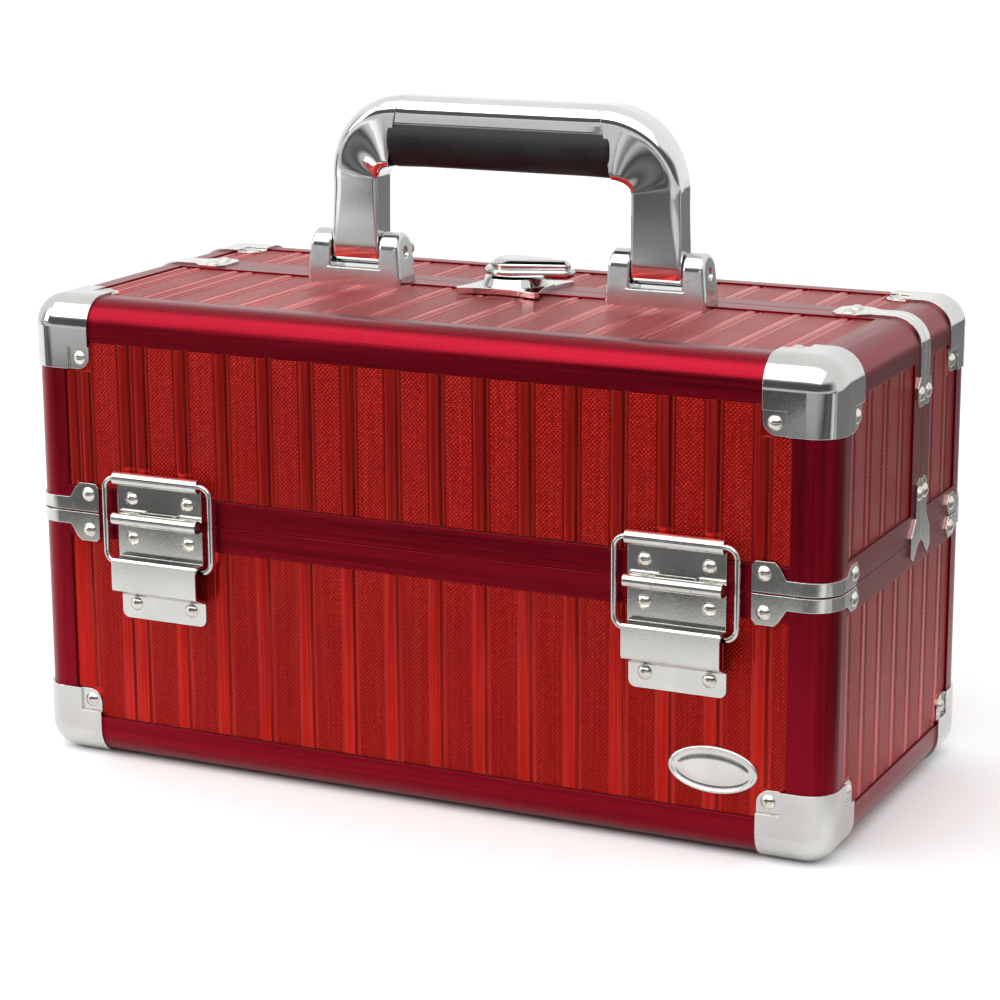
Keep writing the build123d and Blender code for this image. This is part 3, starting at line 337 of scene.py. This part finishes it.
# ---------------------------------------------------------------- mesh helpers
def new_obj(name, verts, faces, body, mats, face_mat=None, smooth=False):
    me = bpy.data.meshes.new(name)
    me.from_pydata(verts, [], faces)
    for k in mats:
        me.materials.append(MT[k])
    if face_mat:
        me.polygons.foreach_set("material_index", face_mat)
    me.validate()
    bm = bmesh.new()
    bm.from_mesh(me)
    bmesh.ops.recalc_face_normals(bm, faces=bm.faces)
    bm.to_mesh(me)
    bm.free()
    if smooth:
        me.shade_smooth()
    o = bpy.data.objects.new(name, me)
    bpy.context.collection.objects.link(o)
    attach(o, body)
    return o


# ---------------------------------------------------------------- embossed skins
MM = 0.001
BAND, HB, HR, HG = 12.1, 0.42, 0.80, 0.10


def stripe_profile(u0, u1, start, pitch, wide_first=None, relief=1.0):
    """Points (u, height, is_band_to_next) across the stripes, mm."""
    bands = []
    b = start
    while b < u1:
        if b + BAND > u0:
            bands.append((max(b, u0), min(b + BAND, u1)))
        b += pitch
    b = start
    if wide_first is not None:
        b = wide_first
        bands.insert(0, (max(b, u0), b + BAND - 0.1))
    while wide_first is None:
        b -= pitch
        if b + BAND <= u0:
            break
        bands.insert(0, (max(b, u0), min(b + BAND, u1)))
    pts = []

    def rib(a, c, h, n=6):
        for i in range(n + 1):
            t = i / n
            pts.append((a + (c - a) * t, HG + (h - HG) * math.sin(math.pi * t) ** 0.55, 0))

    def gap(a, c):
        """Smooth strip between two bands: a rounded rib, a groove and a thin rib."""
        w = c - a
        if w < 1.2:
            pts.append((a + 0.05, HG, 0))
            pts.append((c - 0.05, HG, 0))
            return
        x = a + 0.35
        n = max(1, round((w - 2.5) / 6.5))
        wide = (w - 0.35 - 3.15 * n) / n
        for _ in range(n):
            rib(x, x + wide, HR, 8)
            rib(x + wide + 1.75, x + wide + 2.85, HR * 0.72, 4)
            x += wide + 3.15
    last = u0
    for a, c in bands:
        if a - last > 0.3:
            gap(last, a)
        pts.append((a, HG, 0))
        pts.append((a + 0.25, HB, 1))
        pts.append((c - 0.25, HB, 0))
        pts.append((c, HG, 0))
        last = c
    if u1 - last > 0.3:
        gap(last, u1)
    clean = []
    for p in pts:
        if clean and p[0] - clean[-1][0] < 0.02:
            continue
        if u0 <= p[0] <= u1:
            clean.append(p)
    clean = [(u, HG + (h - HG) * relief, k) for u, h, k in clean]
    clean[0] = (u0, HG, clean[0][2])
    if clean[-1][0] < u1 - 0.02:
        clean.append((u1, HG, 0))
    return clean


def skin(name, body, place, us, vs, prof_args, flats=()):
    """A closed embossed sheet. place(u, v, h) gives the point, stripes run along v."""
    g = 0.22
    u0, u1, v0, v1 = us[0] + g, us[1] - g, vs[0] + g, vs[1] - g
    prof = stripe_profile(u0, u1, *prof_args)
    cuts = {u0, u1}
    rows = {v0, v0 + 0.35, v1 - 0.35, v1}
    for fu0, fu1, fv0, fv1 in flats:
        for v in (fv0 - 0.3, fv0, fv1, fv1 + 0.3):
            if v0 + 0.4 < v < v1 - 0.4:
                rows.add(v)
        for u in (fu0, fu1):
            if u0 < u < u1:
                cuts.add(u)
    n = max(2, int((v1 - v0) / 8))
    for i in range(1, n):
        v = v0 + (v1 - v0) * i / n
        if all(abs(v - r) > 0.5 for r in rows):
            rows.add(v)
    rows = sorted(rows)
    us_ = [p[0] for p in prof]
    for cu in sorted(cuts):
        for d in (-0.15, 0.15):
            u = cu + d
            if u0 < u < u1 and all(abs(u - k) > 0.05 for k in us_):
                i = next(k for k, p in enumerate(prof) if p[0] > u)
                pa, pb = prof[i - 1], prof[i]
                t = (u - pa[0]) / (pb[0] - pa[0])
                prof.insert(i, (u, pa[1] + (pb[1] - pa[1]) * t, pa[2]))
                us_ = [p[0] for p in prof]
    nu, nv = len(prof), len(rows)
    verts, faces, fm = [], [], []
    def height(u, v, h):
        if v < v0 + 0.3 or v > v1 - 0.3:
            h = min(h, HG)
        for fu0, fu1, fv0, fv1 in flats:
            if fu0 <= u <= fu1 and fv0 <= v <= fv1:
                h = 0.03
        return h
    for v in rows:
        for u, h, _ in prof:
            verts.append(place(u, v, height(u, v, h)))
    for v in rows:
        for u, h, _ in prof:
            verts.append(place(u, v, 0.005))
    N = nu * nv
    for j in range(nv - 1):
        for i in range(nu - 1):
            a = j * nu + i
            faces.append((a, a + 1, a + 1 + nu, a + nu))
            hm = (height(prof[i][0], rows[j], prof[i][1]) + height(prof[i + 1][0], rows[j], prof[i + 1][1])) / 2
            # faces at the low groove level take material 2, the groove version with painted shade
            fm.append(1 if prof[i][2] and hm > HG else (2 if 0.05 < hm < HG + 0.06 else 0))
            b = N + a
            faces.append((b, b + nu, b + 1 + nu, b + 1))
            fm.append(0)
    for i in range(nu - 1):
        faces.append((i, N + i, N + i + 1, i + 1))
        a = (nv - 1) * nu + i
        faces.append((a, a + 1, N + a + 1, N + a))
        fm += [0, 0]
    for j in range(nv - 1):
        a = j * nu
        faces.append((a, a + nu, N + a + nu, N + a))
        b = a + nu - 1
        faces.append((b, N + b, N + b + nu, b + nu))
        fm += [0, 0]
    return new_obj(name, verts, faces, body, ("panel", "hatch", "groove"), fm)


def P(x, y, z):
    return (x * MM, y * MM, z * MM)


WX, WY = (-166.5, 166.5), (-69.5, 69.5)
ZB, ZL = (18.5, 101.0), (123.0, 187.5)
PADX = [(-170, -153.6), (153.6, 170)]
def pads(ranges, vr):
    return [(a, b, c, d) for a, b in ranges for c, d in [vr]]
lowz, highz = (0, 31.5), (174.5, 210)
front = lambda u, v, h: P(u, -86 - h, v)
back = lambda u, v, h: P(u, 86 + h, v)
rside = lambda u, v, h: P(183 + h, u, v)
lside = lambda u, v, h: P(-183 - h, u, v)
topp = lambda u, v, h: P(u, v, 204 + h)
SU = (-124.5, 20.19, -152.3)
SL = (-126.6, 20.45, -154.2, 0.5)
ST = (-124.5, 20.19, -152.3, 0.7)
skin("base_front_skin", "base", front, WX, ZB, SL, pads(PADX, lowz))
skin("base_rear_skin", "base", back, WX, ZB, SL, pads(PADX, lowz))
skin("front_lid_front_skin", "front_lid", front, WX, ZL, SU, pads(PADX, highz))
skin("rear_lid_back_skin", "rear_lid", back, WX, ZL, SU, pads(PADX, highz))
YP = [(-75, -56.6), (56.6, 75)]
SE = (-61.5, 20.2, None, 0.32)
for tag, fn in (("right", rside), ("left", lside)):
    skin(f"base_{tag}_skin", "base", fn, WY, ZB, SE, pads(YP, lowz))
    skin(f"front_lid_{tag}_skin", "front_lid", fn, (-69.5, 10.5), ZL, SE, pads(YP, highz))
    skin(f"rear_lid_{tag}_skin", "rear_lid", fn, (32.5, 69.5), ZL, SE, pads(YP, highz))
skin("front_lid_top_skin", "front_lid", topp, WX, (-69.5, 10.5), ST, pads(PADX, (-75, -56.6)))
skin("rear_lid_top_skin", "rear_lid", topp, WX, (32.5, 69.5), ST, pads(PADX, (56.6, 75)))

# ---------------------------------------------------------------- latch knob and badge
def rings_solid(name, rings, body, mat, replaces=(), smooth=True, close_top=True):
    """Closed solid from a stack of equal-length rings of points."""
    n = len(rings[0])
    verts = [q for r in rings for q in r]
    faces = []
    for k in range(len(rings) - 1):
        for i in range(n):
            j = (i + 1) % n
            faces.append((k * n + i, k * n + j, (k + 1) * n + j, (k + 1) * n + i))
    for k in (0, len(rings) - 1):
        c = tuple(sum(q[d] for q in rings[k]) / n for d in range(3))
        verts.append(c)
        ci = len(verts) - 1
        for i in range(n):
            faces.append((k * n + i, k * n + (i + 1) % n, ci))
    o = new_obj(name, verts, faces, body, (mat,), None, smooth)
    if smooth:
        o.data.set_sharp_from_angle(angle=math.radians(42))
    if replaces:
        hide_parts(*replaces)
    return o


def teardrop(inset, n=96, r=13.2):
    """Outline of the knob about its own centre, mm: a round end at -X and a narrow nose at +X."""
    r1, r2, c1, c2 = r - inset, 5.0 - inset * 0.7, 0.0, 23.2
    r2 = max(r2, 0.8)
    th = math.acos((r1 - r2) / (c2 - c1))
    pts = []
    for i in range(n):
        t = i / n
        if t < 0.5:
            a = th + (2 * math.pi - 2 * th) * (t / 0.5)
            pts.append((c1 + r1 * math.cos(a), r1 * math.sin(a)))
        else:
            a = -th + 2 * th * ((t - 0.5) / 0.5)
            pts.append((c2 + r2 * math.cos(a), r2 * math.sin(a)))
    return pts


LY = (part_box("latch_knob")[0][1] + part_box("latch_knob")[1][1]) / 2 / MM
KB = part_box("latch_knob")[0][2] / MM


def level(inset, z, r=13.2, dz=0.0):
    return [P(x, LY + y, z + dz * (x + 17) / 44) for x, y in teardrop(inset, r=r)]


def roll(z0, z1, r, deep, n=9):
    """Levels of a rounded rim between two heights."""
    out = []
    for i in range(n):
        a = math.pi * i / (n - 1)
        out.append(level(deep * (1 - math.sin(a)), (z0 + z1) / 2 - (z1 - z0) / 2 * math.cos(a), r))
    return out


rings_solid("latch_knob_skirt", [level(3.1, KB + 0.05)] + roll(KB + 0.8, KB + 4.2, 13.2, 1.3) + [level(2.8, KB + 4.25)], "latch", "chrome")
rings_solid("latch_knob_grip", [level(3.1, KB + 4.2), level(2.8, KB + 4.4), level(2.6, KB + 5.6), level(2.7, KB + 6.1), level(3.2, KB + 6.5),
                                level(4.8, KB + 7.5), level(5.3, KB + 7.8), level(6.0, KB + 7.95), level(7.0, KB + 7.98)],
            "latch", "chrome", replaces=("latch_knob",))
# ---------------------------------------------------------------- handle bow and grip
H0, H1 = [tuple(c / MM for c in q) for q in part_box("handle_arch")]
HY, HTOP, HOUT = (H0[1] + H1[1]) / 2, H1[2], H1[0]
PZ = H0[2] + 6.6
LIN = 60.4
RO = 36.0


def smooth(t):
    t = max(0.0, min(1.0, t))
    return t * t * (3 - 2 * t)


def bow_half():
    """Stations of the right half, from the pivot end to the middle: outer point, inner point, half thickness, edge rounding."""
    st = []
    for i in range(9):
        a = math.pi / 2 * (1 - i / 8)
        z = PZ - 6.58 * math.sin(a)
        st.append(((HOUT, z), (LIN, z), max(0.25, 6.6 * math.cos(a)), 2.2))
    zo, zi = HTOP - RO, 251.5
    for i in range(1, 15):
        t = i / 14
        st.append(((HOUT, PZ + (zo - PZ) * t), (LIN - 0.5 * smooth(t), PZ + (zi - PZ) * t), 6.6 + 0.6 * t, 2.2 + 2.6 * smooth(t * 1.1)))
    for i in range(1, 27):
        t = i / 26
        a = math.pi / 2 * t
        ox, oz = HOUT - RO + RO * math.cos(a), HTOP - RO + RO * math.sin(a)
        b = math.pi / 2 * min(1.0, t * 1.1)
        ix, iz = LIN - 0.5 - 7.0 + 7.0 * math.cos(b), zi + 5.8 * math.sin(b)
        st.append(((ox, oz), (ix, iz), 7.2 + 4.0 * smooth(t * 1.1), 4.8 + 2.4 * t))
    return st


def bow():
    half = bow_half()
    mid = []
    x0 = 52.6
    for i in range(13):
        x = x0 - x0 * i / 12
        mid.append(((min(x, HOUT - RO), HTOP), (x, HTOP - 14.6), 10.2 + 0.5 * smooth((x - 44) / 8.6), 7.2))
    half.append(((HOUT - RO - 0.05, HTOP), (52.8, 257.4), 11.2, 7.2))
    half.append(((HOUT - RO - 0.15, HTOP), (52.7, HTOP - 14.6), 10.7, 7.2))
    st = half + mid[1:]
    full = st + [((-o[0], o[1]), (-i[0], i[1]), h, n) for o, i, h, n in reversed(st[:-1])]
    rings = []
    for (ox, oz), (ix, iz), h, soft in full:
        cx, cz = (ox + ix) / 2, (oz + iz) / 2
        ex, ez = (ox - ix) / 2, (oz - iz) / 2
        half_w = math.hypot(ex, ez)
        ring = []
        for su, sv in ((1, -1), (1, 1), (-1, 1), (-1, -1)):
            r = min(soft, 0.85 * h, 1.1 * half_w) if su > 0 else min(0.4 * soft, 0.6 * h, 0.4 * half_w)
            a0 = {(1, -1): -90, (1, 1): 0, (-1, 1): 90, (-1, -1): 180}[(su, sv)]
            arc = [(math.cos(math.radians(a0 + 90 * k / 8)), math.sin(math.radians(a0 + 90 * k / 8))) for k in range(9)]
            pts = [(su * (half_w - r) + r * c, sv * (h - r) + r * d) for c, d in arc]
            g = 0.25 * r
            first, last = pts[0], pts[-1]
            if su * sv < 0:
                pts = [(first[0] - su * g, first[1])] + pts + [(last[0], last[1] - sv * g)]
            else:
                pts = [(first[0], first[1] - sv * g)] + pts + [(last[0] - su * g, last[1])]
            for u, v in pts:
                ring.append(P(cx + ex * u / half_w, HY + v, cz + ez * u / half_w))
        rings.append(ring)
    return rings_solid("handle_bow", rings, "handle", "handle", replaces=("handle_arch",))


bow()
G0, G1 = [tuple(c / MM for c in q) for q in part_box("handle_grip")]


def grip():
    """Moulded sleeve: round below, open above for the metal spine, with softly swollen ends."""
    r0 = (G1[1] - G0[1]) / 2
    gz = G0[2] + r0
    up = G1[2] - gz
    rings = []
    xs = [G0[0], G0[0] + 0.25, G0[0] + 0.9] + [G0[0] + 2 + (G1[0] - G0[0] - 4) * i / 16 for i in range(17)] + [G1[0] - 0.9, G1[0] - 0.25, G1[0]]
    for x in xs:
        e = min(x - G0[0], G1[0] - x)
        r = r0 - 0.9 * (1 - min(1, e / 0.9)) ** 2 - 0.35 * smooth((e - 2) / 12)
        ring = []
        amax = math.pi - math.acos(min(1, (up - 0.3) / r))
        n = 48
        for k in range(n + 1):
            a = -amax + 2 * amax * k / n
            ring.append(P(x, HY + r * math.sin(a), gz - r * math.cos(a)))
        top = gz + up
        w = r * math.sin(amax)
        for k in range(1, 8):
            t = k / 8
            ring.append(P(x, HY + (w - 0.6) * (1 - 2 * t), top))
        rings.append(ring)
    return rings_solid("handle_sleeve", rings, "handle", "grip", replaces=("handle_grip",))


grip()
bb0, bb1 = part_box("badge")
BXc, BZc = (bb0[0] + bb1[0]) / 2 / MM, (bb0[2] + bb1[2]) / 2 / MM
BA, BB = (bb1[0] - bb0[0]) / 2 / MM, (bb1[2] - bb0[2]) / 2 / MM
BY = bb1[1] / MM


def oval(inset, h, n=96):
    return [P(BXc + (BA - inset) * math.cos(2 * math.pi * i / n), BY - h, BZc + (BB - inset) * math.sin(2 * math.pi * i / n)) for i in range(n)]


rings_solid("badge_oval", [oval(0.3, 0.0), oval(0.0, 0.3), oval(0.05, 1.1), oval(0.45, 1.5), oval(0.9, 1.6), oval(1.35, 1.5), oval(1.6, 1.1),
                           oval(1.75, 0.95), oval(3.1, 0.95), oval(3.25, 0.85), oval(3.55, 0.85), oval(3.7, 0.97), oval(6.0, 1.12), oval(8.8, 1.2)],
            "base", "badge", replaces=("badge",))

# ---------------------------------------------------------------- stage
def floor():
    bm = bmesh.new()
    bmesh.ops.create_grid(bm, x_segments=4, y_segments=4, size=20)
    me = bpy.data.meshes.new("floor")
    bm.to_mesh(me)
    bm.free()
    o = bpy.data.objects.new("floor", me)
    bpy.context.collection.objects.link(o)
    o.location = (0, 0, -0.0002)
    a = Mat("pale_floor")
    n = a.noise(3, 2)
    a.set(color=a.mix(n, (0.94, 0.94, 0.94), (0.96, 0.96, 0.96)), rough=0.7, spec=0.1)
    me.materials.append(a.mat)


floor()
w = bpy.data.worlds.new("studio")
bpy.context.scene.world = w
w.use_nodes = True
nt = w.node_tree
nt.nodes.clear()
wo = nt.nodes.new("ShaderNodeOutputWorld")
bg = nt.nodes.new("ShaderNodeBackground")
tc = nt.nodes.new("ShaderNodeTexCoord")
sp = nt.nodes.new("ShaderNodeSeparateXYZ")
nt.links.new(tc.outputs["Generated"], sp.inputs[0])


def wmap(v, f0, f1, t0, t1):
    n = nt.nodes.new("ShaderNodeMapRange")
    n.interpolation_type = "SMOOTHSTEP"
    nt.links.new(v, n.inputs[0])
    for i, x in zip((1, 2, 3, 4), (f0, f1, t0, t1)):
        n.inputs[i].default_value = x
    return n.outputs[0]


def wmul(a, b):
    n = nt.nodes.new("ShaderNodeMath")
    n.operation = "MULTIPLY"
    nt.links.new(a, n.inputs[0])
    nt.links.new(b, n.inputs[1])
    return n.outputs[0]


# a bright room with a darker zone low down on the front side, which is what the polished metal mirrors
zone = wmul(wmap(sp.outputs[1], 0.05, -0.55, 0.0, 1.0), wmap(sp.outputs[2], 0.26, 0.50, 1.0, 0.0))
wm = nt.nodes.new("ShaderNodeMix")
wm.data_type = "RGBA"
nt.links.new(zone, wm.inputs[0])
wm.inputs[6].default_value = (1.0, 1.0, 1.0, 1)
wm.inputs[7].default_value = (0.10, 0.105, 0.11, 1)
nt.links.new(wm.outputs[2], bg.inputs[0])
bg.inputs[1].default_value = 1.13
nt.links.new(bg.outputs[0], wo.inputs[0])


def area(name, loc, target, size, power, col=(1, 1, 1)):
    d = bpy.data.lights.new(name, "AREA")
    d.shape, d.size, d.size_y, d.energy, d.color = "RECTANGLE", size[0], size[1], power, col
    o = bpy.data.objects.new(name, d)
    bpy.context.collection.objects.link(o)
    o.location = loc
    o.rotation_mode = "QUATERNION"
    o.rotation_quaternion = (Vector(target) - Vector(loc)).to_track_quat("-Z", "Y")
    return o


area("top_box", (-0.1, -0.95, 1.35), (0, 0, 0.15), (2.4, 1.5), 13)


def bright_card():
    """The face of the top box as polished edges mirror it: brighter there than the light it gives the floor."""
    c, t = Vector((-0.1, -0.93, 1.33)), Vector((0, 0, 0.15))
    n = (t - c).normalized()
    u = n.cross(Vector((0, 0, 1))).normalized()
    v = u.cross(n)
    me = bpy.data.meshes.new("bright_card")
    me.from_pydata([tuple(c + u * a * 1.2 + v * b * 0.74) for a, b in ((-1, -1), (1, -1), (1, 1), (-1, 1))], [], [(0, 1, 2, 3)])
    o = bpy.data.objects.new("bright_card", me)
    bpy.context.collection.objects.link(o)
    f = Mat("bright_card")
    e = f.node("ShaderNodeEmission", {"Color": (1, 1, 1, 1), "Strength": 3.7})
    f.nt.links.new(e.outputs[0], f.out.inputs[0])
    me.materials.append(f.mat)
    o.visible_camera = o.visible_diffuse = o.visible_shadow = o.visible_transmission = False


bright_card()
area("left_box", (-1.6, -1.0, 0.8), (0, 0, 0.12), (0.5, 1.1), 10)


def mirror_card(name, x0, x1, y0, y1, strength):
    """A dark card on the floor that only reflections see; strength(material) gives how dark it is at each place."""
    me = bpy.data.meshes.new(name)
    me.from_pydata([(x0, y0, 0.003), (x1, y0, 0.003), (x1, y1, 0.003), (x0, y1, 0.003)], [], [(0, 1, 2, 3)])
    o = bpy.data.objects.new(name, me)
    bpy.context.collection.objects.link(o)
    f = Mat(name)
    tr = f.node("ShaderNodeBsdfTransparent")
    e = f.node("ShaderNodeEmission", {"Color": (0.02, 0.02, 0.022, 1), "Strength": 1.0})
    mx = f.node("ShaderNodeMixShader", {0: strength(f), 1: tr.outputs[0], 2: e.outputs[0]})
    f.nt.links.new(mx.outputs[0], f.out.inputs[0])
    me.materials.append(f.mat)
    o.visible_camera = o.visible_diffuse = o.visible_shadow = o.visible_transmission = False


def front_bands(f):
    """Painted reflections: dark bands that run across in front, uneven along their length, with a few separate patches
    placed for single parts such as the handle legs.
    """
    wob = f.m("MULTIPLY", f.m("SUBTRACT", f.noise(2.2, 1), 0.5), 0.10)
    t = f.m("MULTIPLY", f.m("ADD", f.y, wob), -0.5)
    k = f.ramp(t, [(0.05, (0.08,) * 3), (0.17, (0.16,) * 3), (0.19, (0.45,) * 3), (0.205, (0.72,) * 3), (0.218, (0.95,) * 3), (0.28, (0.86,) * 3), (0.36, (0.97,) * 3),
                   (0.395, (0.82,) * 3), (0.44, (0.62,) * 3), (0.50, (0.52,) * 3), (0.55, (0.85,) * 3), (0.65, (0.75,) * 3), (0.80, (0.25,) * 3),
                   (1.0, (0.22,) * 3)])
    z = f.m("MULTIPLY", f.rng(f.x, -0.42, -0.34, 0, 0.95), f.rng(f.x, -0.116, -0.108, 1, 0))
    z = f.m("MULTIPLY", z, f.m("MULTIPLY", f.rng(f.y, -0.74, -0.78, 0, 1), f.rng(f.y, -1.02, -1.10, 1, 0)))
    k = f.m("MAXIMUM", k, z)
    lite = f.m("MULTIPLY", f.rng(f.x, -0.62, -0.70, 0, 0.85), f.m("MULTIPLY", f.rng(f.y, -1.05, -1.12, 0, 1), f.rng(f.y, -1.58, -1.66, 1, 0)))
    k = f.m("MULTIPLY", k, f.m("SUBTRACT", 1.0, lite))
    leg = f.m("MULTIPLY", f.rng(f.m("ADD", f.x, f.m("MULTIPLY", f.y, -0.25)), -0.55, -0.42, 0, 0.92), f.rng(f.x, -0.36, -0.30, 1, 0))
    leg = f.m("MULTIPLY", leg, f.m("MULTIPLY", f.rng(f.y, -1.1, -1.2, 0, 1), f.rng(f.y, -1.75, -1.9, 1, 0)))
    k = f.m("MAXIMUM", k, leg)
    leg2 = f.m("MULTIPLY", f.rng(f.x, -1.25, -1.2, 0, 0.85), f.rng(f.x, -0.92, -0.86, 1, 0))
    leg2 = f.m("MULTIPLY", leg2, f.m("MULTIPLY", f.rng(f.y, -1.62, -1.68, 0, 1), f.rng(f.y, -1.95, -2.05, 1, 0)))
    return f.m("MAXIMUM", k, leg2)


mirror_card("dark_card", -6, 6, -6, -0.1, front_bands)
# side_card darkens the reflected floor to the right of the case, a painted shadow seen only in reflections.
mirror_card("side_card", 0.2, 3, -0.27, 3, lambda f: f.rng(f.x, 0.22, 0.32, 0, 0.78))
